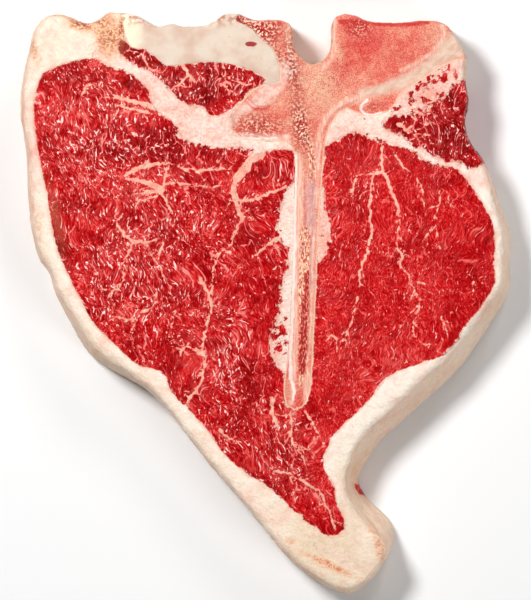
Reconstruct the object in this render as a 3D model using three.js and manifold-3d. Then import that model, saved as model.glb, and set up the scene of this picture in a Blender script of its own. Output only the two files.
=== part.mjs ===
// A raw T-bone steak, one inch thick, lying on one of its two cut faces.
//
// Millimetres, +Z up. The origin is on the underside, below the middle of the outline. +Y runs from the flank
// tail to the sawn chine edge, and +X from the strip loin to the tenderloin. Bone, muscles and fat all run
// through the slice from face to face, so each is an upright solid, with a thin seam to its neighbours.

import * as THREE from "three";
import { mergeVertices } from "three/addons/utils/BufferGeometryUtils.js";
import Module from "manifold-3d";

const wasm = await Module();
wasm.setup();

// ---------------------------------------------------------------- driving dimensions

const THICKNESS = 25.4; // cut face to cut face
const SEAM = 0.3; // gap between neighbouring pieces
const STEP = 3.2; // spacing of the points along every outline
const RELIEF_STEP = 4.2; // spacing of the points over a crowned cut face
const FOOT_EDGE = 1.6; // rounding where the rim meets the underside
const WALL_BOW = 1.25; // the wall's lean grows with height to this power, so that it bows outwards
const WAVE = { height: 0.35, acrossX: 82, acrossY: 107 }; // slow unevenness of the upper face
const HEADROOM = 4; // how far the cutting solids run past the slice, up, down and sideways

// How the upper cut face of each tissue sits. Its border is at THICKNESS + rise, its middle higher by the
// crown, which builds up over the reach. Where it ends at the rim, the edge is rounded by that much.
const MUSCLE_FACE = { rise: -0.1, crown: 1.5, reach: 9, edge: 0 };
const FAT_FACE = { rise: -0.15, crown: 0.5, reach: 6, edge: 2.6 };
const BONE_FACE = { rise: -0.25, crown: 0, reach: 1, edge: 0.9 };
const CARTILAGE_FACE = { rise: 0, crown: 0.45, reach: 5, edge: 1.4 };

// ---------------------------------------------------------------- the rim of the slice

// Points are [x, y, lean]. Lean is how far the wall draws in from its foot to the upper face.
const FEATHER_EDGE = [
  [-86, 103, 2.5],
  [-80.5, 107.6, 1.5],
  [-74.5, 107.4, 1],
  [-70.5, 105.6, 1],
  [-66.5, 104, 0.8],
  [-62, 105.4, 0.8],
  [-58.5, 108, 0.8],
  [-48.5, 107.4, 0.8],
  [-43, 104.4, 0.8],
  [-38, 102.6, 0.8],
  [-35.4, 104.2, 0.6],
  [-32, 103, 0.6],
  [-19.4, 104, 0.6],
  [-17, 106.6, 0.6],
  [-11.5, 107.8, 0.6],
  [-4.5, 105.3, 0.6],
  [5.5, 104.9, 0.4],
  [9.7, 103.4, 0.4],
];
const SPINAL_CANAL = [
  [10.3, 99, 0.3],
  [10.3, 94.8, 0.3],
  [12.8, 91.6, 0.3],
  [15.2, 88.9, 0.3],
  [17.4, 88.2, 0.3],
  [19.8, 89, 0.3],
  [22.4, 91.3, 0.3],
  [24, 94, 0.3],
  [24.5, 98, 0.3],
];
const CHINE_EDGE = [
  [24.8, 104.8, 0.4],
  [27, 107, 0.4],
  [33.6, 106.6, 0.4],
  [37.4, 104.7, 0.4],
  [48, 104, 0.4],
  [58.5, 104.8, 0.4],
  [66.4, 103.9, 0.6],
  [71.6, 98.4, 1.2],
  [75.4, 91.2, 1.4],
];
const BELLY_EDGE = [
  [74.4, 82.8, 1.2],
  [76.1, 75.4, 1.4],
  [74.5, 67, 1.2],
  [76.8, 59.3, 1.4],
  [80.8, 54.4, 1.6],
  [85, 45.5, 2.2],
  [87.2, 38.6, 3],
  [91.8, 26, 4],
  [91.4, 15, 3.6],
  [91.4, 5.5, 4.2],
  [84.4, -8, 6.4],
  [72.6, -25.4, 7.8],
  [60.4, -36.8, 7.8],
  [50.4, -45.6, 7.2],
  [43.4, -52, 7.4],
  [38.8, -59, 7.6],
  [35, -66, 6],
  [38, -72, 7.2],
];
const TAIL_EDGE = [
  [42.8, -76.4, 8.4],
  [46.8, -80, 9],
  [48.3, -86, 6.4],
  [46.8, -92.6, 2.4],
  [42.4, -99.8, 1.6],
  [38.2, -104.4, 1.6],
  [34, -107.5, 1.8],
  [29, -108.4, 2],
  [24, -106.8, 2],
  [10.5, -97, 1],
];
const BACK_EDGE = [
  [-5, -78.7, 0.8],
  [-26, -53.5, 0.8],
  [-36, -41, 1.2],
  [-45, -32.2, 2],
  [-60, -23.7, 3.4],
  [-66, -19, 3.6],
  [-72, -9.2, 3],
  [-79, 4.5, 2],
  [-80.7, 11, 1.8],
  [-84.8, 16.8, 2],
  [-88.5, 36, 2],
  [-89.4, 56, 2],
  [-91.7, 75, 2],
  [-88.6, 93, 2],
];
const RIM = [...FEATHER_EDGE, ...SPINAL_CANAL, ...CHINE_EDGE, ...BELLY_EDGE, ...TAIL_EDGE, ...BACK_EDGE];

// ---------------------------------------------------------------- the tissues, as outlines in the cut face

// The halved vertebra: body and arch round the spinal canal, joint process to the left, and the long thin
// transverse process that is the stem of the T. Its sawn edge runs past the rim, which trims it.
const VERTEBRA = [
  [-10.4, 111],
  [-9.2, 104.6],
  [-4.6, 101.2],
  [-1.4, 97.6],
  [2.6, 94],
  [4.8, 88.6],
  [5.2, 81.4],
  [0.6, 81.2],
  [-5.6, 78.2],
  [-9.4, 73.6],
  [-12.6, 69.4],
  [-13, 65.4],
  [-10.4, 61.4],
  [0, 60],
  [8.4, 59.2],
  [10.8, 55.4],
  [11, 42],
  [10.5, 26],
  [10.1, 8],
  [9.3, -8],
  [8.3, -20],
  [6.8, -32],
  [8, -38],
  [12, -39.6],
  [15.6, -35.6],
  [16.9, -27],
  [17.9, -8],
  [18.8, 10],
  [19.7, 32],
  [21.2, 50],
  [22.4, 61.6],
  [25, 67.4],
  [29.6, 72],
  [35, 69.8],
  [44.4, 70.4],
  [47.6, 73.2],
  [50, 77.4],
  [58, 82.8],
  [66, 87.8],
  [73.6, 90.6],
  [80, 92],
  [80, 111],
];
// The soft white end of the spinous process, along the sawn edge.
const SPINOUS_CARTILAGE = [
  [-52.9, 111],
  [-52.4, 103],
  [-51, 97.4],
  [-46, 90],
  [-38, 84],
  [-20, 82],
  [0, 79],
  [8, 80],
  [8, 94],
  [-2, 104],
  [-8, 111],
];
const STRIP_LOIN = [
  [-84.6, 79],
  [-82.2, 84.6],
  [-77, 87.4],
  [-70, 89.5],
  [-63, 90.2],
  [-57, 87.2],
  [-50.5, 85],
  [-46, 81.6],
  [-43.2, 76.6],
  [-41, 71.4],
  [-34.6, 66.6],
  [-31.8, 62],
  [-27, 58.8],
  [-18, 57.4],
  [-8.6, 57.2],
  [-4, 56],
  [-6.8, 51.6],
  [-10.6, 47.2],
  [-11.4, 41.4],
  [-9.8, 36],
  [-8.4, 31],
  [-11.6, 26],
  [-13, 20.6],
  [-17.6, 18],
  [-19.4, 10],
  [-20, 0],
  [-21.6, -14],
  [-25, -30],
  [-28.8, -38],
  [-35.4, -32],
  [-36.2, -27.8],
  [-41.4, -24.2],
  [-46.4, -23.2],
  [-57, -14],
  [-63, -8],
  [-67.6, 0],
  [-75.6, 16.6],
  [-78.8, 27],
  [-80.6, 40],
  [-82.8, 50],
  [-85.6, 68],
];
// The part of the slice between the loin's inner seam, the transverse process and the tip of the tail.
const FLANK_MUSCLE = [
  [-3.2, 54.6],
  [2, 56.2],
  [7.6, 57],
  [13, 54],
  [14, 0],
  [12, -36],
  [17, -42],
  [24, -50],
  [21.2, -57],
  [22.2, -63],
  [25, -67],
  [26, -74],
  [29.4, -81.4],
  [28.4, -84.6],
  [25, -86.3],
  [12, -77.6],
  [4, -70.2],
  [-11, -59.8],
  [-16.6, -54],
  [-21, -47.6],
  [-30, -36.4],
  [-32, -20],
  [-30, 10],
  [-22, 30],
  [-18, 45],
];
const TENDERLOIN = [
  [17, 54],
  [21.6, 57.2],
  [27, 60.4],
  [34, 63.1],
  [38.4, 60.4],
  [44.4, 59.6],
  [50, 57.4],
  [54.6, 56.2],
  [58, 53],
  [63, 50.6],
  [69, 49.9],
  [72.4, 48],
  [77, 41.6],
  [83.2, 31.4],
  [84.9, 22],
  [84.4, 14],
  [85.2, 8.2],
  [83, 3.8],
  [78.6, -3],
  [74.8, -6.8],
  [70.4, -14.6],
  [66, -18.6],
  [60, -21.4],
  [46.6, -26.2],
  [42.2, -30],
  [38.4, -35.8],
  [30, -43.8],
  [20.8, -51.6],
  [15.6, -43],
  [12, -34],
  [15, 0],
];
const MULTIFIDUS = [
  [-54.8, 95.4],
  [-52.2, 97.2],
  [-49.6, 94.2],
  [-44.4, 93.8],
  [-37, 87.8],
  [-30, 88.2],
  [-22, 89],
  [-15, 88.6],
  [-7, 86.6],
  [0.2, 82],
  [-7.4, 76.8],
  [-10.6, 73.6],
  [-17, 69.6],
  [-21.4, 69.9],
  [-22.6, 72.7],
  [-28, 73.2],
  [-32.4, 75.8],
  [-37, 80.6],
  [-42, 85],
  [-52, 90.4],
];
const PSOAS_MINOR = [
  [43.2, 66.6],
  [45.8, 68.9],
  [51, 69.6],
  [60, 72.4],
  [66.6, 76.4],
  [69, 80.4],
  [76, 82.6],
  [80, 76],
  [80, 60],
  [84, 54],
  [80.6, 51.8],
  [75.6, 49.2],
  [74.2, 51.6],
  [66, 52.7],
  [58, 57.2],
  [53.6, 58.6],
  [52, 61.6],
  [45, 64],
];
// Fat on both sides of the transverse process.
const STEM_FAT_LEFT = [
  [14, 45.4],
  [9.6, 44.2],
  [5.4, 34.6],
  [4.4, 28],
  [5.8, 23],
  [8.4, 18.6],
  [8.4, 13],
  [6.4, 9],
  [5.4, -3],
  [2.8, -9.4],
  [1.8, -17],
  [3.4, -22.4],
  [7, -26],
  [12, -28],
];
const STEM_FAT_RIGHT = [
  [17, 46],
  [21.2, 43],
  [22.2, 36],
  [24, 26.6],
  [22.8, 21.2],
  [19.6, 15.4],
  [16, 14],
];
// Zones that share out what is left between the muscles: each takes the fat inside it.
const SEAM_ZONE = [
  [-63.8, 92],
  [-54.2, 97.4],
  [-42, 98],
  [9, 90],
  [14, 50],
  [-8, 40],
  [-50, 60],
];
const CHINE_ZONE = [
  [14, 90],
  [70, 96],
  [86, 90],
  [86, 82],
  [77, 56],
  [72.6, 52.6],
  [70.8, 46],
  [50, 40],
  [16, 50],
];
const BACK_ZONE = [
  [-60, 60],
  [-46, 112],
  [-76, 118],
  [-98, 100],
  [-100, 20],
  [-60, -50],
  [10, -116],
  [44, -114],
  [40, -90],
  [20, -60],
  [-20, -20],
];
const BELLY_ZONE = [
  [72.6, 53.4],
  [70, 46],
  [60, 10],
  [20, -40],
  [16, -60],
  [18.2, -83.4],
  [18.6, -90],
  [23, -95.8],
  [34.6, -100.8],
  [42, -108],
  [70, -108],
  [108, -30],
  [108, 54],
  [84, 54],
];

// ---------------------------------------------------------------- shape helpers

// A closed curve through the points, sampled evenly and running counter-clockwise.
function outline(points) {
  const knots = points.map(([x, y, lean = 0]) => new THREE.Vector3(x, y, lean));
  const curve = new THREE.CatmullRomCurve3(knots, true, "centripetal");
  const samples = curve.getSpacedPoints(Math.round(curve.getLength() / STEP)).slice(0, -1);
  return THREE.ShapeUtils.isClockWise(samples) ? samples.reverse() : samples;
}

// The same outline moved outwards at each point by what distanceAt gives for it, or inwards if negative.
function offset(line, distanceAt) {
  return line.map((point, i) => {
    const before = line.at(i - 1);
    const after = line[(i + 1) % line.length];
    const along = new THREE.Vector2(after.x - before.x, after.y - before.y).normalize();
    const distance = distanceAt(point);
    return new THREE.Vector3(point.x + along.y * distance, point.y - along.x * distance, point.z);
  });
}

// How far a point lies from an outline.
function distanceTo(line, x, y) {
  const point = new THREE.Vector3(x, y, 0);
  const edge = new THREE.Line3();
  const nearest = new THREE.Vector3();
  let shortest = Infinity;
  for (const [i, start] of line.entries()) {
    edge.set(start, line[(i + 1) % line.length]);
    edge.closestPointToPoint(point, true, nearest);
    shortest = Math.min(shortest, nearest.distanceTo(point));
  }
  return shortest;
}

// A closed three.js geometry as a solid that can be cut and joined.
function solidOf(geometry) {
  const bare = new THREE.BufferGeometry().setAttribute("position", geometry.getAttribute("position"));
  if (geometry.index) bare.setIndex(geometry.index);
  const merged = mergeVertices(bare, 1e-4);
  const vertProperties = new Float32Array(merged.attributes.position.array);
  const triVerts = new Uint32Array(merged.index.array);
  return new wasm.Manifold(new wasm.Mesh({ numProp: 3, vertProperties, triVerts }));
}

// An upright prism over an outline, taller than the slice.
function prism(line) {
  const shape = new THREE.Shape(line.map((point) => new THREE.Vector2(point.x, point.y)));
  const depth = THICKNESS + 2 * HEADROOM;
  const geometry = new THREE.ExtrudeGeometry(shape, { depth, steps: 1, bevelEnabled: false });
  geometry.translate(0, 0, -HEADROOM);
  return solidOf(geometry);
}

// A closed solid through outlines of equal length, one above the other, each with its z in the points.
function loft(rings) {
  const count = rings[0].length;
  const last = (rings.length - 1) * count;
  const faces = [];
  for (let base = 0; base < last; base += count) {
    for (let i = 0; i < count; i++) {
      const here = base + i;
      const next = base + ((i + 1) % count);
      faces.push(here, next, next + count, here, next + count, here + count);
    }
  }
  for (const [a, b, c] of THREE.ShapeUtils.triangulateShape(rings[0], [])) faces.push(a, c, b);
  for (const [a, b, c] of THREE.ShapeUtils.triangulateShape(rings.at(-1), [])) {
    faces.push(last + a, last + b, last + c);
  }
  const geometry = new THREE.BufferGeometry().setFromPoints(rings.flat());
  geometry.setIndex(faces);
  return solidOf(geometry);
}

// The whole slice inside its rim: foot rounded, wall leaning in, upper edge rounded by edge. With an edge of
// 0 it runs on past the upper face, for tissues whose own crown ends them.
const rim = outline(RIM);
function slab(edge) {
  const crest = edge > 0 ? FAT_FACE.crown : HEADROOM / 2;
  const levels = [];
  for (const degrees of [0, 35, 90]) {
    const angle = THREE.MathUtils.degToRad(degrees);
    levels.push({ z: FOOT_EDGE * (1 - Math.cos(angle)), inset: FOOT_EDGE * (1 - Math.sin(angle)) });
  }
  levels.push({ z: THICKNESS / 2, inset: 0 });
  for (const degrees of edge > 0 ? [0, 30, 60, 80] : [0]) {
    const angle = THREE.MathUtils.degToRad(degrees);
    levels.push({ z: THICKNESS + crest - edge * (1 - Math.sin(angle)), inset: edge * (1 - Math.cos(angle)) });
  }
  const rings = levels.map(({ z, inset }) => {
    const leanShare = (z / THICKNESS) ** WALL_BOW;
    const ring = offset(rim, (point) => -inset - point.z * leanShare);
    return ring.map((point) => point.setZ(z));
  });
  return loft(rings);
}

// A block whose top is the upper cut face of one tissue: crowned inside its border, and slightly uneven.
function faceBlock(line, face) {
  const box = new THREE.Box3().setFromPoints(line);
  const size = box.getSize(new THREE.Vector3()).addScalar(2 * HEADROOM);
  const centre = box.getCenter(new THREE.Vector3());
  const cells = face.crown > 0 ? size.clone().divideScalar(RELIEF_STEP).ceil() : new THREE.Vector3(1, 1, 1);
  const geometry = new THREE.BoxGeometry(size.x, size.y, THICKNESS, cells.x, cells.y, 1);
  const position = geometry.getAttribute("position");
  for (let i = 0; i < position.count; i++) {
    const x = position.getX(i) + centre.x;
    const y = position.getY(i) + centre.y;
    let top = THICKNESS + face.rise;
    if (face.crown > 0) {
      const roll = Math.sin((2 * Math.PI * x) / WAVE.acrossX) * Math.cos((2 * Math.PI * y) / WAVE.acrossY);
      top += face.crown * (1 - Math.exp(-distanceTo(line, x, y) / face.reach)) + WAVE.height * roll;
    }
    position.setXYZ(i, x, y, position.getZ(i) > 0 ? top : -HEADROOM);
  }
  return solidOf(geometry);
}

// The one body that matters: shavings cut loose from it are dropped.
function largest(solid) {
  return solid.decompose().reduce((best, body) => (body.volume() > best.volume() ? body : best));
}

// ---------------------------------------------------------------- the pieces

const taken = []; // the prisms of the pieces made so far, each grown by the seam

// One piece: the slice inside its outline, less the pieces before it, under the face of its tissue.
function piece(name, points, face, { color, roughness }) {
  const line = outline(points);
  let solid = slab(face.edge).intersect(prism(line)).intersect(faceBlock(line, face));
  for (const other of taken) solid = solid.subtract(other);
  taken.push(prism(offset(line, () => SEAM)));

  const { vertProperties, triVerts } = largest(solid).getMesh();
  const geometry = new THREE.BufferGeometry();
  geometry.setAttribute("position", new THREE.BufferAttribute(vertProperties, 3));
  geometry.setIndex(new THREE.BufferAttribute(triVerts, 1));
  geometry.computeVertexNormals();
  const material = new THREE.MeshStandardMaterial({ color, roughness, metalness: 0, flatShading: true });
  const mesh = new THREE.Mesh(geometry, material);
  mesh.name = name;
  return mesh;
}

const RED_MEAT = { color: 0xb8141c, roughness: 0.35 };
const DARK_MEAT = { color: 0x8e0d16, roughness: 0.35 };
const PALE_FAT = { color: 0xf0d9c4, roughness: 0.5 };
const PINK_FAT = { color: 0xf0c8bb, roughness: 0.5 };
const SAWN_BONE = { color: 0xd99a86, roughness: 0.6 };
const CARTILAGE = { color: 0xe9ddd2, roughness: 0.4 };

// Muscles and bone come first, and the fat takes what is left between them and the rim.
const steak = new THREE.Group();
steak.add(
  piece("bone", VERTEBRA, BONE_FACE, SAWN_BONE),
  piece("stem_fat_left", STEM_FAT_LEFT, FAT_FACE, PINK_FAT),
  piece("stem_fat_right", STEM_FAT_RIGHT, FAT_FACE, PINK_FAT),
  piece("strip_loin", STRIP_LOIN, MUSCLE_FACE, RED_MEAT),
  piece("tenderloin", TENDERLOIN, MUSCLE_FACE, RED_MEAT),
  piece("flank_muscle", FLANK_MUSCLE, MUSCLE_FACE, RED_MEAT),
  piece("multifidus", MULTIFIDUS, MUSCLE_FACE, DARK_MEAT),
  piece("psoas_minor", PSOAS_MINOR, MUSCLE_FACE, DARK_MEAT),
  piece("spinous_cartilage", SPINOUS_CARTILAGE, CARTILAGE_FACE, CARTILAGE),
  piece("seam_fat", SEAM_ZONE, FAT_FACE, PINK_FAT),
  piece("chine_fat", CHINE_ZONE, FAT_FACE, PINK_FAT),
  piece("belly_fat", BELLY_ZONE, FAT_FACE, PALE_FAT),
  piece("back_fat", BACK_ZONE, FAT_FACE, PALE_FAT),
);

export default steak;
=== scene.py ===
import math
import random

import bmesh
import bpy
import numpy as np
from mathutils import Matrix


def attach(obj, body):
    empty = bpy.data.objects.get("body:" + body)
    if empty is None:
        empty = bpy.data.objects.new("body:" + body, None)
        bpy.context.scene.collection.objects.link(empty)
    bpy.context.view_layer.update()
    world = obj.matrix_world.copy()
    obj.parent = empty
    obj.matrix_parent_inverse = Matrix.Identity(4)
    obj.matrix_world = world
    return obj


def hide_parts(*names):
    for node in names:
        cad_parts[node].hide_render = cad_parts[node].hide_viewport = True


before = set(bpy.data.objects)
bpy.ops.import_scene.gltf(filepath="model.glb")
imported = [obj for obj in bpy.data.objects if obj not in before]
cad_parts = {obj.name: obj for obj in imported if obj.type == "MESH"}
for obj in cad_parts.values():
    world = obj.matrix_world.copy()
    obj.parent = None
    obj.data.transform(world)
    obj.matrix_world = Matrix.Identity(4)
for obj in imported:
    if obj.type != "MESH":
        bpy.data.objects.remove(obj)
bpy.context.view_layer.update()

# -------------------- the sawn slice
# A steak comes off the band saw as one slab, so a single wet and slightly uneven skin runs over bone,
# muscle and fat alike. The slab is skinned whole over the frame's solids first, and then divided along
# their seams, so that the tissues meet flush.
MM = 0.001
SKIN_CELL = 0.85 * MM
OVERLAP = 0.25 * MM
ROLL_SIZE, ROLL_HEIGHT = 9 * MM, 0.5 * MM
PIMPLE_SIZE, PIMPLE_HEIGHT = 2.6 * MM, 0.25 * MM
DENT_SIZE, DENT_HEIGHT = 6 * MM, 1.3 * MM
UPWARD = 0.35


def select_only(obj):
    bpy.ops.object.select_all(action="DESELECT")
    obj.select_set(True)
    bpy.context.view_layer.objects.active = obj


def bake_modifier(obj, kind, **settings):
    select_only(obj)
    modifier = obj.modifiers.new(kind.title(), kind)
    for key, value in settings.items():
        setattr(modifier, key, value)
    bpy.ops.object.modifier_apply(modifier=modifier.name)


def read_vectors(items, key):
    flat = np.empty(len(items) * 3, np.float32)
    items.foreach_get(key, flat)
    return flat.reshape(-1, 3)


def points_mm(obj):
    return read_vectors(obj.data.vertices, "co").astype(float) / MM


def copy_of_node(node, name):
    copy = bpy.data.objects.new(name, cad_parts[node].data.copy())
    bpy.context.collection.objects.link(copy)
    copy.data.name = name
    copy.data.materials.clear()
    select_only(copy)
    bpy.ops.object.mode_set(mode="EDIT")
    bpy.ops.mesh.select_all(action="SELECT")
    bpy.ops.mesh.remove_doubles(threshold=0.01 * MM)
    bpy.ops.object.mode_set(mode="OBJECT")
    return copy


def weight(obj, name, values):
    """Makes a vertex group of the values, rounded to fiftieths."""
    group = obj.vertex_groups.new(name=name)
    rounded = np.round(np.clip(values, 0, 1) * 50).astype(int)
    for fiftieths in np.unique(rounded[rounded > 0]):
        group.add(np.flatnonzero(rounded == fiftieths).tolist(), fiftieths / 50, "REPLACE")
    return name


def ramp(values, low, high):
    """0 up to low, 1 from high on, and smooth between."""
    t = np.clip((values - low) / (high - low), 0, 1)
    return t * t * (3 - 2 * t)


def off_floor(obj):
    """0 for points on the floor and 1 from 7 mm up, which keeps the lower face flat."""
    return ramp(points_mm(obj)[:, 2], 1.5, 7)


def clouds(name, size, depth=1):
    texture = bpy.data.textures.new(name, "CLOUDS")
    texture.noise_scale = size
    texture.noise_depth = depth
    return texture


copies = [copy_of_node(node, node + "_core") for node in sorted(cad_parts)]
for core in copies:
    bake_modifier(core, "DISPLACE", strength=OVERLAP, mid_level=0)
select_only(copies[0])
for core in copies:
    core.select_set(True)
bpy.ops.object.join()
slab = bpy.context.object
slab.name = slab.data.name = "slab"
bake_modifier(slab, "REMESH", mode="VOXEL", voxel_size=SKIN_CELL)
bake_modifier(slab, "SMOOTH", factor=0.5, iterations=4)
bake_modifier(slab, "DISPLACE", strength=-OVERLAP, mid_level=0)

level_faces = read_vectors(slab.data.polygons, "normal")[:, 2] > UPWARD
bpy.ops.object.mode_set(mode="EDIT")
bpy.ops.mesh.select_mode(type="FACE")
bpy.ops.mesh.select_all(action="DESELECT")
bpy.ops.object.mode_set(mode="OBJECT")
slab.data.polygons.foreach_set("select", level_faces)
bpy.ops.object.mode_set(mode="EDIT")
bpy.ops.mesh.subdivide(number_cuts=1)
bpy.ops.object.mode_set(mode="OBJECT")

clear_of_floor = weight(slab, "clear_of_floor", off_floor(slab))
bake_modifier(slab, "DISPLACE", texture=clouds("rolls", ROLL_SIZE), strength=ROLL_HEIGHT,
              vertex_group=clear_of_floor)
bake_modifier(slab, "DISPLACE", texture=clouds("pimples", PIMPLE_SIZE), strength=PIMPLE_HEIGHT,
              vertex_group=clear_of_floor)
steepness = 1 - np.abs(read_vectors(slab.data.vertices, "normal")[:, 2])
wall = weight(slab, "wall", off_floor(slab) * ramp(steepness, 0.3, 0.8))
bake_modifier(slab, "DISPLACE", texture=clouds("dents", DENT_SIZE, 2), strength=DENT_HEIGHT,
              vertex_group=wall)
slab.vertex_groups.clear()


# The knife lines are the frame's own seams. Each node is carried past both cut faces and past the rim,
# and what it shares with the slab is one piece of the steak. Neighbours grip each other by a hair.
SEAM_GRIP, RIM_GRIP = 0.17 * MM, 1.0 * MM
# Seam faces stand sheer and rim faces lean, by the height of their normals.
SHEER, LEANING = 0.004, 0.7
UPPER, LOWER = 0.020, 0.004
ABOVE, BELOW = 0.040, -0.010
EASE = 0.08 * MM


def knife(node):
    """A copy of a node to cut its piece with: grown sideways a little, and far up and down."""
    blade = copy_of_node(node, node + "_knife")
    mesh = bmesh.new()
    mesh.from_mesh(blade.data)
    for vertex in mesh.verts:
        seam = np.zeros(2)
        rim = np.zeros(2)
        for face in vertex.link_faces:
            across = np.array(face.normal[:2]) * face.calc_area()
            if abs(face.normal.z) < SHEER:
                seam += across
            elif abs(face.normal.z) < LEANING:
                rim += across
        seam *= SEAM_GRIP / max(np.linalg.norm(seam), 1e-12)
        rim *= RIM_GRIP / max(np.linalg.norm(rim), 1e-12)
        vertex.tag = vertex.co.z > UPPER
        vertex.co.x += seam[0] + rim[0]
        vertex.co.y += seam[1] + rim[1]
    for vertex in mesh.verts:
        if vertex.tag:
            vertex.co.z = ABOVE
        elif vertex.co.z < LOWER:
            vertex.co.z = BELOW
    mesh.to_mesh(blade.data)
    mesh.free()
    return blade


def ease_cut_edges(piece):
    """Lets the cut edges of both faces in by a hair, so that neighbours cross where they overlap."""
    faces, corners = piece.data.polygons, piece.data.loops
    sizes = np.empty(len(faces), np.int32)
    faces.foreach_get("loop_total", sizes)
    tilt = np.repeat(read_vectors(faces, "normal")[:, 2], sizes)
    owner = np.empty(len(corners), np.int32)
    corners.foreach_get("vertex_index", owner)
    points = points_mm(piece) * MM
    walled = np.isin(np.arange(len(points)), owner[np.abs(tilt) < 0.02])
    for side in (1, -1):
        level = np.isin(np.arange(len(points)), owner[tilt * side > 0.6])
        points[walled & level, 2] -= side * EASE
    piece.data.vertices.foreach_set("co", points.astype(np.float32).ravel())
    piece.data.update()


def cut_from_slab(node, name):
    blade = knife(node)
    piece = slab.copy()
    piece.data = slab.data.copy()
    piece.name = piece.data.name = name
    bpy.context.collection.objects.link(piece)
    bake_modifier(piece, "BOOLEAN", operation="INTERSECT", object=blade, solver="MANIFOLD")
    bpy.data.objects.remove(blade)
    ease_cut_edges(piece)
    piece.data.materials.clear()
    bpy.ops.object.shade_smooth_by_angle(angle=math.radians(50))
    return piece


def roughen(piece, name, share, size, height, depth=1):
    """Pushes the skin of a piece in and out by up to half the height, where the share says so."""
    bake_modifier(piece, "DISPLACE", texture=clouds(name, size * MM, depth), strength=height * MM,
                  vertex_group=weight(piece, name, share * off_floor(piece)))
    piece.vertex_groups.clear()


# -------------------- tissue borders
# Fat doesn't end at a muscle in a clean line: it frays into it and sends white threads between the bundles.
# Each piece carries, at every point, how deep it lies in meat and how deep in a thread of fat, in mm.
SECTION_HEIGHT = 0.002
MUSCLES = ("strip_loin", "flank_muscle", "tenderloin", "multifidus", "psoas_minor")
NEIGHBOURS = 0.6
SEAM_REACH = 0.4
FAR = 12.0


def outline_of(node):
    mesh = bmesh.new()
    mesh.from_mesh(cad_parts[node].data)
    everything = mesh.verts[:] + mesh.edges[:] + mesh.faces[:]
    cut = bmesh.ops.bisect_plane(mesh, geom=everything, plane_co=(0, 0, SECTION_HEIGHT), plane_no=(0, 0, 1))
    lines = [[*edge.verts[0].co[:2], *edge.verts[1].co[:2]] for edge in cut["geom_cut"]
             if isinstance(edge, bmesh.types.BMEdge)]
    mesh.free()
    return np.array(lines) / MM


def depth_in_lines(points, lines, start_widths=0.0, end_widths=0.0):
    """How far each point lies within the half width of the nearest line, negative outside it."""
    deepest = np.full(len(points), -FAR)
    x, y = points[:, 0], points[:, 1]
    start_widths = np.broadcast_to(start_widths, len(lines))
    end_widths = np.broadcast_to(end_widths, len(lines))
    for (ax, ay, bx, by), start, end in zip(lines, start_widths, end_widths):
        near = np.flatnonzero((x > min(ax, bx) - FAR) & (x < max(ax, bx) + FAR)
                              & (y > min(ay, by) - FAR) & (y < max(ay, by) + FAR))
        dx, dy = bx - ax, by - ay
        share = np.clip(((x[near] - ax) * dx + (y[near] - ay) * dy) / (dx * dx + dy * dy + 1e-12), 0, 1)
        apart = np.hypot(x[near] - ax - share * dx, y[near] - ay - share * dy)
        deepest[near] = np.maximum(deepest[near], start + (end - start) * share - apart)
    return deepest


def inside_lines(points, lines):
    inside = np.zeros(len(points), bool)
    x, y = points[:, 0], points[:, 1]
    for ax, ay, bx, by in lines:
        if ay != by:
            crosses = (ay > y) != (by > y)
            inside ^= crosses & (x < ax + (y - ay) * (bx - ax) / (by - ay))
    return inside


muscle_outlines = {node: outline_of(node) for node in MUSCLES}
meat_border = []
for node, lines in muscle_outlines.items():
    others = np.concatenate([other for name, other in muscle_outlines.items() if name != node])
    middles = (lines[:, :2] + lines[:, 2:]) / 2
    meat_border.append(lines[depth_in_lines(middles, others) < -NEIGHBOURS])
meat_border = np.concatenate(meat_border)
all_outlines = np.concatenate(list(muscle_outlines.values()))


def mark(obj, name, values):
    obj.data.attributes.new(name, "FLOAT", "POINT").data.foreach_set("value", values.astype(np.float32))


def meat_depth(points):
    inside = np.zeros(len(points), bool)
    for lines in muscle_outlines.values():
        inside |= inside_lines(points, lines)
    apart = -depth_in_lines(points, meat_border)
    on_seam = depth_in_lines(points, all_outlines) > -SEAM_REACH
    inside |= on_seam & (apart > NEIGHBOURS)
    return np.where(inside, apart, -apart)


def dabs(points, spots):
    """How strongly each point is dabbed, where the strongest of the soft oval dabs wins."""
    total = np.zeros(len(points))
    for x, y, along, across, turn, amount in spots:
        c, s = math.cos(math.radians(turn)), math.sin(math.radians(turn))
        u = ((points[:, 0] - x) * c + (points[:, 1] - y) * s) / along
        v = ((points[:, 1] - y) * c - (points[:, 0] - x) * s) / across
        total = np.maximum(total, amount * np.exp(-(u * u + v * v)))
    return total


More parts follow.
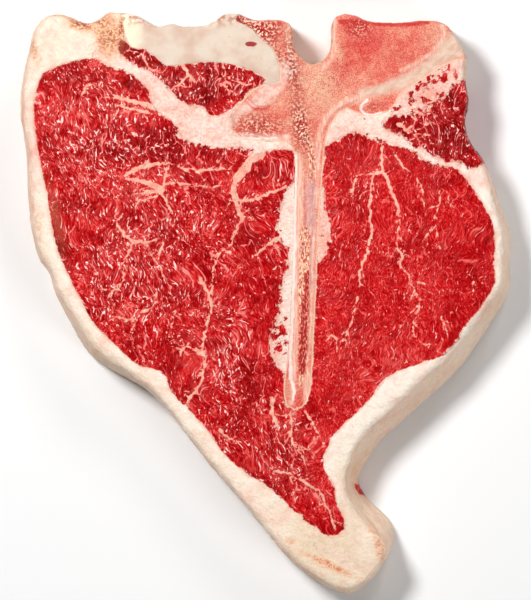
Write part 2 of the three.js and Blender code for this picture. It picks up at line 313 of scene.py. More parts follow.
# -------------------- marbling
# Marbling is fat laid down between the muscle bundles. A few trunks enter from the seams, taper and fork,
# and each sends out short twigs. Lines are [width at start, width at end, points], in mm.
LOIN_TRUNKS = [
    [0.9, 0.5, (-38.5, 41.5), (-37, 47), (-35.5, 51.5)],
    [2.2, 0.8, (-38.5, 42), (-44, 44.5), (-51.5, 46)],
    [1.2, 0.5, (-39, 41), (-44, 41), (-48.5, 40.5)],
    [0.6, 0.3, (-40, 39.6), (-45, 38), (-49, 37.8)],
    [0.8, 0.4, (-38, 44), (-33, 44.3), (-28, 43.7), (-21, 42.7), (-16, 43.5)],
    [0.9, 0.3, (-38.5, 41), (-36, 36), (-34.5, 33)],
    [0.8, 2.0, (-52, 47), (-47, 49.6), (-43, 51)],
    [1.5, 0.5, (-43, 51), (-38, 51.6), (-35, 51.5)],
    [0.5, 1.0, (-35, 51.5), (-30, 49.8), (-24, 49)],
    [1.0, 0.4, (-24, 49), (-18, 49.8), (-13, 49.5)],
    [0.6, 0.5, (-52.8, 33), (-55, 30), (-53.5, 27)],
    [1.0, 1.1, (-53.5, 27), (-52, 25), (-49.5, 23)],
    [1.3, 0.6, (-48.8, 22.6), (-44, 22.5), (-40.5, 23.4)],
    [0.9, 0.4, (-49, 22.3), (-50, 20), (-51.4, 17.5), (-53, 14.5)],
    [0.4, 0.6, (-53, 12), (-52.5, 9.5), (-53.8, 6.5)],
    [0.5, 0.2, (-54.8, 5), (-58, 3.5), (-58, 0.5)],
    [0.5, 0.5, (-44, 22.6), (-43.5, 19.5), (-41, 16), (-39, 13), (-38, 10)],
    [0.7, 0.4, (-38, 22.5), (-39.5, 16)],
    [0.5, 0.4, (-40.5, 5), (-40.3, 0.5), (-42, -1.5), (-46, -4), (-47.5, -6.5), (-49.5, -10)],
    [0.5, 0.2, (-47.5, -6), (-51, -6.5), (-56, -3.5), (-59.5, -1)],
    [0.3, 0.2, (-33, -2), (-34.5, -7), (-35.5, -13)],
    [0.9, 0.3, (-68, 77), (-66, 80), (-62, 82)],
    [1.8, 0.5, (-42, 72.6), (-48, 74.4), (-54, 75.5), (-60, 75.8)],
    [1.0, 0.4, (-43, 70.4), (-50, 72), (-55, 73)],
    [1.0, 0.7, (-24, 9), (-21, 3.5), (-20, -2), (-21, -5), (-22, -10), (-23.5, -16)],
    [1.8, 1.3, (-23, -18.5), (-25.4, -17.4)],
    [0.8, 0.9, (-23.5, -17), (-22.5, -22), (-23.5, -28), (-26.5, -33), (-29, -37)],
    [0.8, 0.5, (-25, -18.5), (-29, -16), (-31.5, -19.5)],
    [0.4, 0.3, (-29, -15.5), (-26, -12.5)],
    [0.4, 0.3, (-19.5, 13), (-18, 18), (-15.5, 20), (-13, 18)],
]
FLANK_TRUNKS = [
    [3.2, 2.6, (-1, 56), (-4.4, 53.6), (-7.6, 49.6), (-10.8, 45.8)],
    [2.4, 1.3, (-10.8, 45.8), (-11.8, 42), (-10.4, 36), (-8.4, 31.4)],
    [0.7, 0.5, (-8.4, 31), (-11, 26.6), (-12.4, 22)],
    [0.4, 0.2, (-9, 31), (-3.5, 30.5)],
    [0.9, 1.0, (-11, 38.4), (-5, 37.6), (0, 40), (7.5, 43)],
    [1.6, 0.3, (5, 24), (0, 20.8), (-4, 17.6)],
    [1.3, 0.7, (2.5, -35), (2.6, -41), (4, -44), (5, -47)],
    [0.7, 0.3, (9.5, -40), (9.8, -50), (11.5, -53), (13, -56), (16, -60)],
    [0.5, 0.8, (3, -62.5), (8, -63), (12, -65), (17, -68)],
    [0.8, 0.6, (17, -68), (20, -70), (22, -74), (24, -78), (25, -82), (26, -84)],
    [0.9, 0.3, (-17, -47), (-12, -51.5)],
    [0.7, 0.3, (-11, -52), (-7, -51)],
    [0.7, 0.5, (14.5, -40), (17.5, -45), (20.4, -50)],
    [0.5, 0.3, (-12.4, 22), (-17, 18), (-18.8, 14), (-19.3, 10), (-19.7, 4), (-20, -1)],
]
TENDERLOIN_TRUNKS = [
    [0.8, 0.8, (43.5, 58), (43, 52), (43.5, 49)],
    [0.5, 0.8, (43.5, 49), (40, 47), (39, 42), (38.8, 38)],
    [1.1, 0.7, (38.8, 38), (38.8, 33), (39.3, 28)],
    [0.7, 0.9, (39.5, 27), (37.5, 19), (35.5, 14)],
    [0.9, 0.5, (35.5, 14), (34.7, 10), (34.6, 6)],
    [0.6, 0.3, (34, 2), (32, -5), (31, -9.5), (28.5, -14)],
    [0.8, 1.1, (43.5, 49), (45.2, 46), (46, 42), (47.8, 38.6)],
    [0.8, 0.4, (48, 38.4), (49.5, 33), (49.5, 28), (48.5, 22)],
    [0.4, 0.6, (48.5, 22), (49.8, 18), (50.5, 14), (52, 11), (54, 8)],
    [0.5, 0.4, (54.5, 7.5), (55.4, 4), (57, 0.5), (56, -3), (54.5, -7), (55, -11), (57, -14), (60, -16)],
    [0.5, 0.3, (43, 48.5), (37, 47.6), (33.5, 47)],
    [0.3, 0.6, (33.5, 47), (32.5, 43), (31.6, 41)],
    [0.7, 0.3, (48, 54.5), (51, 50.5), (54, 48)],
    [0.4, 0.3, (56, 46), (57.5, 43.5), (58.5, 41), (57.5, 38)],
    [0.3, 0.3, (64.5, 42), (64, 36), (62.5, 31), (63.5, 27), (64.5, 20)],
    [0.3, 0.4, (62.5, 30), (60, 26), (58, 22)],
    [0.3, 0.2, (67, 41), (68.5, 35)],
    [0.5, 0.3, (56.5, 7.5), (59, 7)],
    [0.5, 0.2, (77, 8), (76.5, 3)],
    [0.3, 0.2, (65, -5), (66, -10)],
    [0.4, 0.3, (22.5, -14), (24.5, -12), (26, -14), (26.5, -18)],
]
SMALL_MUSCLE_TRUNKS = [
    [1.3, 0.5, (-31, 89), (-28, 84), (-26, 82)],
    [0.6, 0.4, (-29, 84), (-32, 81), (-34, 80)],
    [0.6, 0.4, (-16, 89), (-15, 85), (-17, 82), (-12, 78)],
    [0.5, 0.3, (-15, 84), (-8, 81), (-4, 80.5)],
    [0.7, 0.3, (-46, 92), (-43, 87), (-39, 86)],
    [0.5, 0.4, (54, 69), (58, 66), (62, 66.6)],
    [0.5, 0.3, (60, 74), (64, 75), (66, 72)],
    [0.4, 0.3, (52, 64), (56, 62.5), (61, 62)],
    [1.4, 0.6, (49, 66), (52, 64.6), (54, 65.4)],
    [1.2, 0.5, (57, 75), (59, 72.4), (61, 71)],
    [0.9, 0.4, (55, 71), (57.5, 70), (60, 68)],
]
TWIG_EVERY, TWIG_LENGTH, TWIG_WIDTH, TWIG_END = 2.6, 3.6, 0.3, -0.1
TWIG_TURN, TWIG_BEND = (0.35, 1.1), (-0.9, 0.9)
SAMPLE = 1.2
SEED = 27
chance = random.Random(SEED)
uneven = np.random.default_rng(SEED)


def smooth_path(corners):
    """A curve through the corners, sampled about every SAMPLE mm."""
    corners = [np.array(corner, float) for corner in corners]
    padded = [2 * corners[0] - corners[1], *corners, 2 * corners[-1] - corners[-2]]
    path = []
    for a, b, c, d in zip(padded, padded[1:], padded[2:], padded[3:]):
        steps = max(1, round(np.linalg.norm(c - b) / SAMPLE))
        for i in range(steps):
            t = i / steps
            path.append(0.5 * (2 * b + (c - a) * t + (2 * a - 5 * b + 4 * c - d) * t * t
                               + (3 * b - a - 3 * c + d) * t ** 3))
    return path + [corners[-1]]


def threads(trunks, twigs=True):
    """Line pieces of all trunks and of the twigs that grow from them, with their half widths."""
    lines, starts, ends = [], [], []
    swelling = 0.7 if twigs else 0.2
    wander = 0.28 if twigs else 0.1

    def lay(path, start, end):
        swollen = 1.05 + swelling * (uneven.random(len(path)) - 0.5)
        widths = np.linspace(start / 2, end / 2, len(path)) * swollen
        for i in range(len(path) - 1):
            lines.append([*path[i], *path[i + 1]])
            starts.append(widths[i])
            ends.append(widths[i + 1])

    for start, end, *corners in trunks:
        path = smooth_path(corners)
        path[1:-1] = [point + uneven.normal(0, wander, 2) for point in path[1:-1]]
        lay(path, start, end)
        for i in range(1, len(path) - 1):
            if twigs and chance.random() < SAMPLE / TWIG_EVERY:
                along = path[i + 1] - path[i]
                turn = math.atan2(along[1], along[0]) + chance.choice((-1, 1)) * chance.uniform(*TWIG_TURN)
                length = TWIG_LENGTH * chance.uniform(0.3, 1.4)
                tip = path[i] + length * np.array((math.cos(turn), math.sin(turn)))
                bend = turn + chance.uniform(*TWIG_BEND)
                far_tip = tip + 0.7 * length * np.array((math.cos(bend), math.sin(bend)))
                lay(smooth_path([path[i], tip, far_tip]), TWIG_WIDTH * chance.uniform(0.6, 1.4), TWIG_END)
    return np.array(lines), np.array(starts), np.array(ends)


marbling = threads(LOIN_TRUNKS + FLANK_TRUNKS + TENDERLOIN_TRUNKS + SMALL_MUSCLE_TRUNKS)

# Dabs are (x, y, radius along, radius across, turn in degrees, amount), in mm.
FLESH_SPOTS = {
    # old, drier meat
    "dark": [
        (-38, 57, 20, 7, -8, 1.0), (-40, 29, 7, 5, 0, 0.6), (-6, 20, 4, 30, 0, 0.35),
        (-6, -20, 4, 22, 0, 0.35), (-78, 27, 3, 14, 12, 0.6), (80, 20, 9, 26, -10, 0.5),
        (78, 0, 8, 12, 0, 0.4), (30, 54, 14, 6, 10, 0.4), (10, -62, 14, 5, -40, 0.3),
        (-30, 80, 26, 9, 0, 0.7), (62, 64, 18, 16, 0, 0.8), (5, 50, 8, 7, 0, 0.5),
        (-46, 91, 8, 4, -30, 0.9), (66, 74, 8, 8, 0, 0.6),
    ],
    # coarse wet bundles with bright flecks, partly tissue and partly painted glints
    "fleck_and_glint": [
        (-62, 60, 24, 30, 0, 0.9), (-48, 10, 20, 22, 0, 1.0), (-14, -22, 6, 24, 0, 1.0),
        (-30, 30, 20, 18, 0, 0.6), (-15, 60, 16, 6, 0, 0.6), (5, -55, 14, 18, 0, 0.6),
        (-20, -50, 14, 10, -45, 0.6), (52, 20, 14, 30, 0, 0.4), (40, -20, 20, 18, 0, 0.7),
        (28, 30, 10, 24, 0, 0.6), (70, 60, 10, 20, 0, 0.5), (-30, 82, 18, 8, 0, 0.6),
    ],
    # meat veiled by fine fat
    "haze": [
        (-48, 42, 12, 6, 0, 0.9), (-60, 74, 8, 6, 0, 0.7), (-24, 46, 12, 5, 0, 0.5),
        (-50, 20, 8, 8, 0, 0.7), (-26, -20, 6, 12, 0, 0.8), (-10, 35, 5, 8, 0, 0.5),
        (-68, 62, 7, 12, 0, 0.4), (-80, 66, 4, 12, 0, 0.4), (45, -22, 16, 9, 20, 0.9),
        (60, -18, 8, 7, 0, 0.4), (8, -45, 8, 7, 0, 0.9), (20, -60, 6, 12, -20, 0.5),
        (-5, -66, 12, 5, -40, 0.5), (44, 52, 12, 6, 0, 0.4), (-28, 85, 14, 5, 0, 0.7),
    ],
    # fat and meat frayed into each other
    "ragged": [
        (-45, 70, 12, 12, -40, 0.8), (-28, 60, 10, 5, -30, 0.8), (-10, 58, 12, 4, 0, 0.6),
        (-32, 88, 22, 5, 0, 0.7), (-14, 80, 9, 9, 0, 0.7), (55, 74, 12, 9, 30, 1.2),
        (62, 82, 12, 6, 35, 1.2), (38, 62, 16, 9, 10, 0.8), (62, 54, 12, 5, -10, 0.8),
        (6, -38, 9, 7, 0, 1.0), (3, 10, 6, 34, 0, 0.9), (22.5, 28, 5, 16, 0, 0.9),
        (16, -85, 14, 6, -50, 0.5), (66, -14, 10, 9, -35, 0.4),
    ],
    # scraps of one tissue left in the other
    "crumbs": [
        (57, 79, 15, 7, 33, 0.8), (41, 72, 4, 3, 0, 1.0), (64, 88, 8, 4, 30, 0.9), (46, 66, 10, 5, 0, 0.5),
        (30, 60, 8, 4, 0, 0.5), (11, -41, 6, 6, 0, 1.0), (5, -13, 6, 11, 0, 1.0), (3, 16, 5, 10, 0, 1.0),
        (22, 44, 3, 10, 0, 0.7), (56, 60, 9, 5, -20, 0.7), (66, 56, 9, 5, -20, 0.6),
        (-22, 62, 14, 3, -10, 0.6), (-42, 72, 10, 4, -40, 0.6), (20, 24, 3, 8, 0, 0.5),
        (-12, 72, 7, 4, 0, 0.6), (-38, 82, 6, 5, 0, 0.4), (36, -68, 5, 4, 60, 0.9), (80, 52, 6, 4, 0, 0.5),
    ],
    # yellower fat
    "tan": [
        (25, -90, 24, 22, 0, 1.0), (-30, -62, 30, 9, -45, 0.9), (-68, -22, 24, 10, -45, 0.8),
        (-86, 20, 6, 18, 10, 0.4), (56, -36, 34, 10, 40, 0.3), (84, 0, 10, 26, -10, 0.3),
        (38, -66, 14, 14, 0, 0.9), (-70, 104, 5, 3, 0, 1.3), (-59, 102, 9, 4, 0, 0.9),
        (-78, 92, 20, 14, 0, 0.3),
    ],
    # blushed fat
    "pink": [
        (-86, 60, 6, 26, 0, 0.6), (-40, 76, 16, 10, 0, 0.5), (-22, 66, 20, 8, 0, 0.5),
        (0, 30, 4, 20, 0, 0.5), (22, 28, 6, 14, 0, 1.3), (60, 78, 12, 12, 0, 0.9), (3, -20, 3, 20, 0, 0.6),
        (38, 64, 16, 7, 0, 0.35), (-45, 95, 10, 8, 0, 0.4), (80, 45, 10, 8, 0, 0.5),
    ],
    # crust dried brown
    "rust": [
        (-68, 104, 5.4, 3.2, -15, 1.7), (-61, 104, 7, 5, 10, 1.2), (-58.0, 98, 6, 8, 0, 1.2),
        (-53.4, 99, 1.3, 8, 0, 1.6), (-76, 107.5, 14, 2.0, 0, 1.0), (-87, 96, 2.5, 9, 25, 0.9),
        (-90.5, 70, 1.8, 14, 4, 0.7), (-84, 30, 2, 12, 12, 0.5), (-77.2, 31, 1.6, 12, 11, 1.1),
        (24, -97, 12, 1.4, -25, 1.0), (9, -88, 3, 2, 0, 0.6), (42, -90, 3, 12, 20, 0.7),
        (38, -69, 3, 6, 20, 0.7), (43, -79, 3, 9, 35, 0.9),
    ],
}
ISLAND_HEIGHT, ISLAND_SHORE = 2.6, 1.4
MEAT_ISLANDS = [
    (6.5, -10, 1.5, 2.2, 0, 1.0), (7.3, -5.6, 1.2, 1.0, 20, 1.0), (3.2, -11.6, 1.4, 2.6, 0, 1.0),
    (5.0, -16.5, 1.2, 1.8, 10, 1.0), (7.4, 18.6, 1.3, 3.2, -35, 1.0), (8.2, 13.4, 0.8, 1.8, 0, 0.9),
    (53.5, 76.7, 0.9, 1.9, -10, 0.9), (56.5, 79.1, 0.9, 2.0, 25, 0.9), (58.4, 80.7, 2.2, 0.9, 20, 1.0),
    (60.6, 82.6, 0.9, 1.8, -20, 0.9), (62.8, 81.9, 1.8, 0.9, 30, 1.0), (66.0, 83.7, 1.2, 3.2, -15, 1.2),
    (67.9, 87.4, 0.9, 1.8, 0, 1.0), (70.4, 84.5, 0.9, 2.4, 10, 1.0), (47.6, 72.2, 2.4, 0.8, -15, 0.8),
    (60.2, 74.8, 3.4, 1.3, -8, 1.0), (64.6, 76.6, 2.4, 1.2, 20, 1.0), (35.0, -69.6, 3.6, 1.4, -50, 1.0),
]


def flush_at_seams(obj):
    """0 where a face turns over its edge, so that neighbours still meet there, and 1 elsewhere."""
    level = np.abs(read_vectors(obj.data.vertices, "normal")[:, 2])
    return np.maximum(ramp(level, 0.8, 0.96), 1 - ramp(level, 0.25, 0.5))


def mark_flesh(obj, relief=0.5):
    points = points_mm(obj)
    depth = meat_depth(points)
    roughen(obj, "bundles", ramp(depth, 0.1, 1.4) * flush_at_seams(obj), 1.5, relief, depth=2)
    roughen(obj, "lobes", ramp(-depth, 0.2, 2.5), 4.0, 0.5, depth=2)
    points = points_mm(obj)
    depth = np.maximum(depth, ISLAND_HEIGHT * dabs(points, MEAT_ISLANDS) - ISLAND_SHORE)
    mark(obj, "meat", depth)
    mark(obj, "thread", depth_in_lines(points, *marbling))
    for name, spots in FLESH_SPOTS.items():
        mark(obj, name, dabs(points, spots))


# -------------------- flesh finishes
# Cut muscle shows the ends of its bundles: short wet strokes of pink on deep red, partly tissue and partly
# painted wet highlights, with painted shade in the darker gaps between.
# Fat is firm and waxy, in small lobes. These finishes are shared by every muscle and fat of the steak.
def shade(red, green, blue):
    """A colour named in screen values, as the linear colour a shader takes."""
    def linear(value):
        value /= 255
        return value / 12.92 if value <= 0.04045 else ((value + 0.055) / 1.055) ** 2.4
    return (linear(red), linear(green), linear(blue), 1.0)


def feed(tree, value, socket):
    """Links an output to an input socket, or sets the socket to a plain value."""
    if isinstance(value, bpy.types.NodeSocket):
        tree.links.new(value, socket)
    else:
        socket.default_value = value


def add_node(tree, kind, inputs=(), out=0, **settings):
    """Adds a node with its settings, feeds its inputs and returns one of its outputs."""
    made = tree.nodes.new(kind)
    for key, value in settings.items():
        setattr(made, key, value)
    for key, value in dict(inputs).items():
        feed(tree, value, made.inputs[key])
    return made.outputs[out]


def calc(tree, operation, *values, clamp=False):
    return add_node(tree, "ShaderNodeMath", enumerate(values), operation=operation, use_clamp=clamp)


def times(tree, first, second, clamp=False):
    return calc(tree, "MULTIPLY", first, second, clamp=clamp)


def plus(tree, first, second, clamp=False):
    return calc(tree, "ADD", first, second, clamp=clamp)


def minus(tree, first, second):
    return calc(tree, "SUBTRACT", first, second)


def mix(tree, share, first, second, blend="MIX"):
    return add_node(tree, "ShaderNodeMix", {0: share, 6: first, 7: second}, out=2, data_type="RGBA",
                    blend_type=blend)


def between(tree, share, first, second):
    return add_node(tree, "ShaderNodeMix", {0: share, 2: first, 3: second})


def laid_over(tree, base, *coats):
    """The base colour with coats laid over it in turn, each (mask, share of it, colour, blend if any)."""
    for mask, share, color, *blend in coats:
        base = mix(tree, times(tree, mask, share), base, color, *blend)
    return base


def step(tree, value, low, high, to_low=0.0, to_high=1.0):
    """Rises smoothly from to_low to to_high as the value goes from low to high."""
    return add_node(tree, "ShaderNodeMapRange",
                    {0: value, 1: low, 2: high, 3: to_low, 4: to_high}, interpolation_type="SMOOTHSTEP")


def attribute(tree, name):
    return add_node(tree, "ShaderNodeAttribute", out="Fac", attribute_name=name)


def scaled(tree, where, amount):
    return add_node(tree, "ShaderNodeVectorMath", {0: where, "Scale": amount}, operation="SCALE")


def moved(tree, where, by):
    return add_node(tree, "ShaderNodeVectorMath", {0: where, 1: by}, operation="ADD")


def axis_of(tree, vector, axis):
    return add_node(tree, "ShaderNodeSeparateXYZ", {0: vector}, out=axis)


def position_mm(tree):
    return scaled(tree, add_node(tree, "ShaderNodeTexCoord", out="Object"), 1 / MM)


def stretched(tree, where, x, y, z, turn=0.0):
    """The position for a pattern drawn out by x, y and z along axes turned by so many degrees."""
    return add_node(tree, "ShaderNodeMapping",
                    {"Vector": where, "Scale": (x, y, z), "Rotation": (0, 0, math.radians(turn))},
                    vector_type="TEXTURE")


def noise(tree, where, size, detail=2.0, roughness=0.5, out="Fac", distortion=0.0):
    return add_node(tree, "ShaderNodeTexNoise",
                    {"Vector": where, "Scale": 1 / size, "Detail": detail, "Roughness": roughness,
                     "Distortion": distortion}, out=out)


def cells(tree, where, size, feature):
    return add_node(tree, "ShaderNodeTexVoronoi", {"Vector": where, "Scale": 1 / size}, feature=feature)


def warped(tree, where, size, amount):
    """The position pushed about by up to about half the amount, in mm, in swirls of the given size."""
    push = moved(tree, noise(tree, where, size, out="Color"), (-0.5, -0.5, -0.5))
    return moved(tree, where, scaled(tree, push, amount))


def new_group(name, inputs, outputs):
    """A node group with sockets named and set as given: colours for tuples and numbers for the rest."""
    tree = bpy.data.node_groups.new(name, "ShaderNodeTree")
    for way, sockets in (("INPUT", inputs), ("OUTPUT", outputs)):
        for label, value in sockets.items():
            kind = "NodeSocketColor" if isinstance(value, tuple) else "NodeSocketFloat"
            tree.interface.new_socket(label, in_out=way, socket_type=kind).default_value = value
    return tree, tree.nodes.new("NodeGroupInput").outputs, tree.nodes.new("NodeGroupOutput").inputs


def use_group(tree, group, **inputs):
    made = tree.nodes.new("ShaderNodeGroup")
    made.node_tree = group
    for key, value in inputs.items():
        feed(tree, value, made.inputs[key.replace("_", " ")])
    return made.outputs


def frayed_edge_group():
    """1 inside an edge and 0 outside it, frayed by about the reach in tatters of the given size, in mm."""
    tree, given, result = new_group(
        "frayed edge", {"Depth": 0.0, "Reach": 0.8, "Softness": 0.12, "Tatters": 3.2}, {"Mask": 0.0})
    where = scaled(tree, position_mm(tree), calc(tree, "DIVIDE", 1.0, given["Tatters"]))
    tatters = noise(tree, where, 1.0, detail=4.0, roughness=0.6)
    push = times(tree, minus(tree, tatters, 0.5), times(tree, given["Reach"], 4.0))
    depth = plus(tree, given["Depth"], push)
    feed(tree, step(tree, depth, times(tree, given["Softness"], -1.0), given["Softness"]), result["Mask"])
    return tree


def tones(tree, value, *stops):
    """A colour for each value: stops are (value, red, green, blue) in screen values."""
    made = tree.nodes.new("ShaderNodeValToRGB")
    tree.links.new(value, made.inputs["Fac"])
    while len(made.color_ramp.elements) < len(stops):
        made.color_ramp.elements.new(1.0)
    for element, (place, *screen) in zip(made.color_ramp.elements, stops):
        element.position = place
        element.color = shade(*screen)
    return made.outputs["Color"]


WHITE = (1, 1, 1, 1)


def muscle_group():
    """Flushed strokes on deep red, with painted shade in the gaps, pale torn rims that are partly painted
    wet highlights, and a broken silvery net.
    """
    tree, given, result = new_group(
        "cut muscle",
        {"Pale": WHITE, "Flush": WHITE, "Deep": WHITE, "Wetness": 0.5, "Darkness": 0.0, "Haze": 0.0,
         "Fineness": 1.0, "Relief": 1.0, "Rims": 1.0, "Lean": 0.0, "Mottle": 1.0},
        {"Color": WHITE, "Height": 0.0, "Gloss": 0.0})
    where = position_mm(tree)
    swirled = warped(tree, warped(tree, where, 20.0, 16.0), 3.5, 2.2)
    leaning = add_node(tree, "ShaderNodeVectorRotate", {"Vector": swirled, "Angle": given["Lean"]},
                       rotation_type="Z_AXIS")
    turned = stretched(tree, leaning, 1.0, 2.6, 10.0)
    grain = scaled(tree, turned, given["Fineness"])
    strokes = noise(tree, grain, 0.4, detail=1.4, distortion=0.25)
    ridges = noise(tree, grain, 0.9, detail=0.8, roughness=0.4, distortion=0.3)
    torn = noise(tree, grain, 0.9, detail=1.5, roughness=0.6)
    middle = noise(tree, turned, 1.7, detail=1.5)
    patches = noise(tree, where, 3.4, detail=2.5, roughness=0.6)
    broad = noise(tree, where, 13.0, detail=3.0, roughness=0.6)
    bundle = cells(tree, grain, 1.15, "DISTANCE_TO_EDGE")

    lift = plus(tree, times(tree, patches, 0.3), times(tree, broad, 0.35))
    lift = plus(tree, lift, times(tree, middle, 0.4))
    lift = times(tree, minus(tree, lift, 0.525), given["Mottle"])
    level = plus(tree, plus(tree, times(tree, strokes, 0.75), lift), 0.125)
    clean = tones(tree, level, (0.38, 166, 0, 6), (0.46, 188, 6, 14), (0.52, 204, 20, 26),
                  (0.58, 220, 42, 44), (0.66, 238, 80, 76))
    # The wet tones rise higher than the clean ones: their brightest stops are painted wet glints, laid
    # where the meat is busy.
    wet = tones(tree, level, (0.38, 160, 0, 6), (0.45, 192, 10, 18), (0.51, 216, 40, 42),
                (0.58, 238, 80, 74), (0.66, 255, 128, 118))

    busy = times(tree, given["Wetness"], step(tree, patches, 0.36, 0.6, 0.4, 1.2), clamp=True)
    shadowed = plus(tree, step(tree, broad, 0.56, 0.36, 0.0, 0.5), given["Darkness"], clamp=True)
    hazy = times(tree, step(tree, patches, 0.4, 0.66), times(tree, given["Haze"], 0.5))
    # Painted shade: the colour darkens towards the edges of the bundles, where they dip between the domes.
    painted_hollow_shade = times(tree, step(tree, bundle, 0.3, 0.1), plus(tree, busy, 0.2))
    # The torn rims, shown where the noise says lit, are painted flushed and pale: partly connective tissue,
    # partly painted wet highlights.
    bar = minus(tree, 0.56, times(tree, busy, 0.14))
    lit = step(tree, minus(tree, torn, bar), 0.0, 0.18)
    rim = times(tree, step(tree, bundle, 0.13, 0.03), times(tree, lit, given["Rims"]))
    net = cells(tree, warped(tree, turned, 2.5, 1.2), 4.6, "DISTANCE_TO_EDGE")
    net = times(tree, step(tree, net, 0.04, 0.01), step(tree, middle, 0.47, 0.58))
    rim = calc(tree, "MAXIMUM", rim, times(tree, net, times(tree, given["Rims"], 0.55)))
    base = laid_over(
        tree, mix(tree, busy, clean, wet),
        (shadowed, 1.0, given["Deep"], "MULTIPLY"),
        (hazy, 1.0, given["Flush"]),
        (painted_hollow_shade, 0.5, given["Deep"], "MULTIPLY"),
        (step(tree, rim, 0.0, 0.5), 1.0, given["Flush"]),
        (step(tree, rim, 0.32, 0.92), 1.0, given["Pale"]))
    feed(tree, base, result["Color"])
    dome = step(tree, bundle, 0.0, 0.4, 0.0, 0.22)
    height = minus(tree, plus(tree, times(tree, ridges, 0.6), dome), 0.42)
    feed(tree, times(tree, height, given["Relief"]), result["Height"])
    feed(tree, times(tree, given["Wetness"], step(tree, patches, 0.46, 0.62)), result["Gloss"])
    return tree


VEIN_PINK = shade(222, 112, 100)
LAYER_SHADE, LAYER_LIGHT = shade(240, 190, 164), shade(255, 246, 228)
LOBE_SHADE = shade(226, 184, 160)
# The bright grain colour is a painted glint on the fat.
GRAIN_SHADE, PAINTED_GRAIN_GLINT = shade(246, 196, 182), shade(255, 250, 244)


def fat_group():
    """Waxy lobes in thin layers, blushed in blotches, with fine pink veins and moist grains that carry
    painted glints.
    """
    tree, given, result = new_group(
        "fat",
        {"Base": WHITE, "Blush": WHITE, "Tan": WHITE, "Blush amount": 0.4, "Tan amount": 0.0, "Depth": 0.0,
         "Grain": 0.5},
        {"Color": WHITE, "Height": 0.0})
    where = position_mm(tree)
    lobes = cells(tree, warped(tree, where, 5.0, 3.0), 2.3, "SMOOTH_F1")
    blotches = noise(tree, where, 7.0, detail=4.0, roughness=0.62)
    specks = noise(tree, where, 0.9, detail=3.0, roughness=0.6)
    grains = noise(tree, where, 0.9, roughness=0.6)
    across = add_node(tree, "ShaderNodeCombineXYZ", {2: times(tree, given["Depth"], 0.8)})
    layers = noise(tree, moved(tree, scaled(tree, where, 0.1), across), 1.0)
    spread = plus(tree, given["Blush amount"], step(tree, blotches, 0.4, 0.66, -0.25, 0.35), clamp=True)
    # Painted glints on the grains of the fat.
    gleaming = times(tree, step(tree, grains, 0.52, 0.66), given["Grain"])
    base = laid_over(
        tree, given["Base"],
        (given["Tan amount"], step(tree, blotches, 0.62, 0.4, 0.7, 1.0), given["Tan"]),
        (spread, 0.75, given["Blush"]),
        (step(tree, specks, 0.58, 0.7, 0.0, 0.6), spread, VEIN_PINK),
        (step(tree, layers, 0.54, 0.72), 0.2, LAYER_SHADE, "MULTIPLY"),
        (step(tree, layers, 0.46, 0.3), 0.35, LAYER_LIGHT),
        (step(tree, lobes, 0.3, 0.75), 0.15, LOBE_SHADE, "MULTIPLY"),
        (step(tree, grains, 0.5, 0.36), given["Grain"], GRAIN_SHADE, "MULTIPLY"),
        (gleaming, 0.8, PAINTED_GRAIN_GLINT))
    feed(tree, base, result["Color"])
    height = plus(tree, times(tree, lobes, -0.3), times(tree, specks, 0.5))
    height = plus(tree, height, times(tree, layers, 0.3))
    feed(tree, minus(tree, height, 0.3), result["Height"])
    return tree


FRAYED_EDGE = frayed_edge_group()
CUT_MUSCLE = muscle_group()
FAT = fat_group()
# The pale of the torn rims is partly tissue and partly a painted wet highlight.
PALE_STROKE_AND_GLINT, FLUSH = shade(255, 218, 210), shade(234, 86, 80)
THREAD_FAT, BLUSH_FAT, TAN_FAT = shade(246, 184, 162), shade(241, 166, 146), shade(236, 210, 178)
ROUNDED_FAT, SKIN_FAT_AND_SHADE = shade(255, 236, 204), shade(250, 214, 184)
RUST, PALE_RUST, BURNT = shade(212, 122, 82), shade(246, 196, 156), shade(166, 76, 44)
RUSTY_MEAT = shade(166, 86, 62)
RUST_FROM, RUST_FULL = 11.0, 21.0
FRAY = 0.5


def new_material(name):
    material = bpy.data.materials.new(name)
    material.use_nodes = True
    material.node_tree.nodes.clear()
    return material, material.node_tree


def finish_surface(tree, color, height, roughness, wet):
    """Ends a material in a moist surface with relief of the given height, in mm."""
    bump = add_node(tree, "ShaderNodeBump", {"Height": height, "Distance": MM, "Strength": 1.0})
    shader = add_node(tree, "ShaderNodeBsdfPrincipled",
                      {"Base Color": color, "Normal": bump, "Roughness": roughness,
                       "Specular IOR Level": 0.05, "Coat Weight": wet, "Coat Normal": bump,
                       "Coat Roughness": 0.09})
    feed(tree, shader, tree.nodes.new("ShaderNodeOutputMaterial").inputs["Surface"])


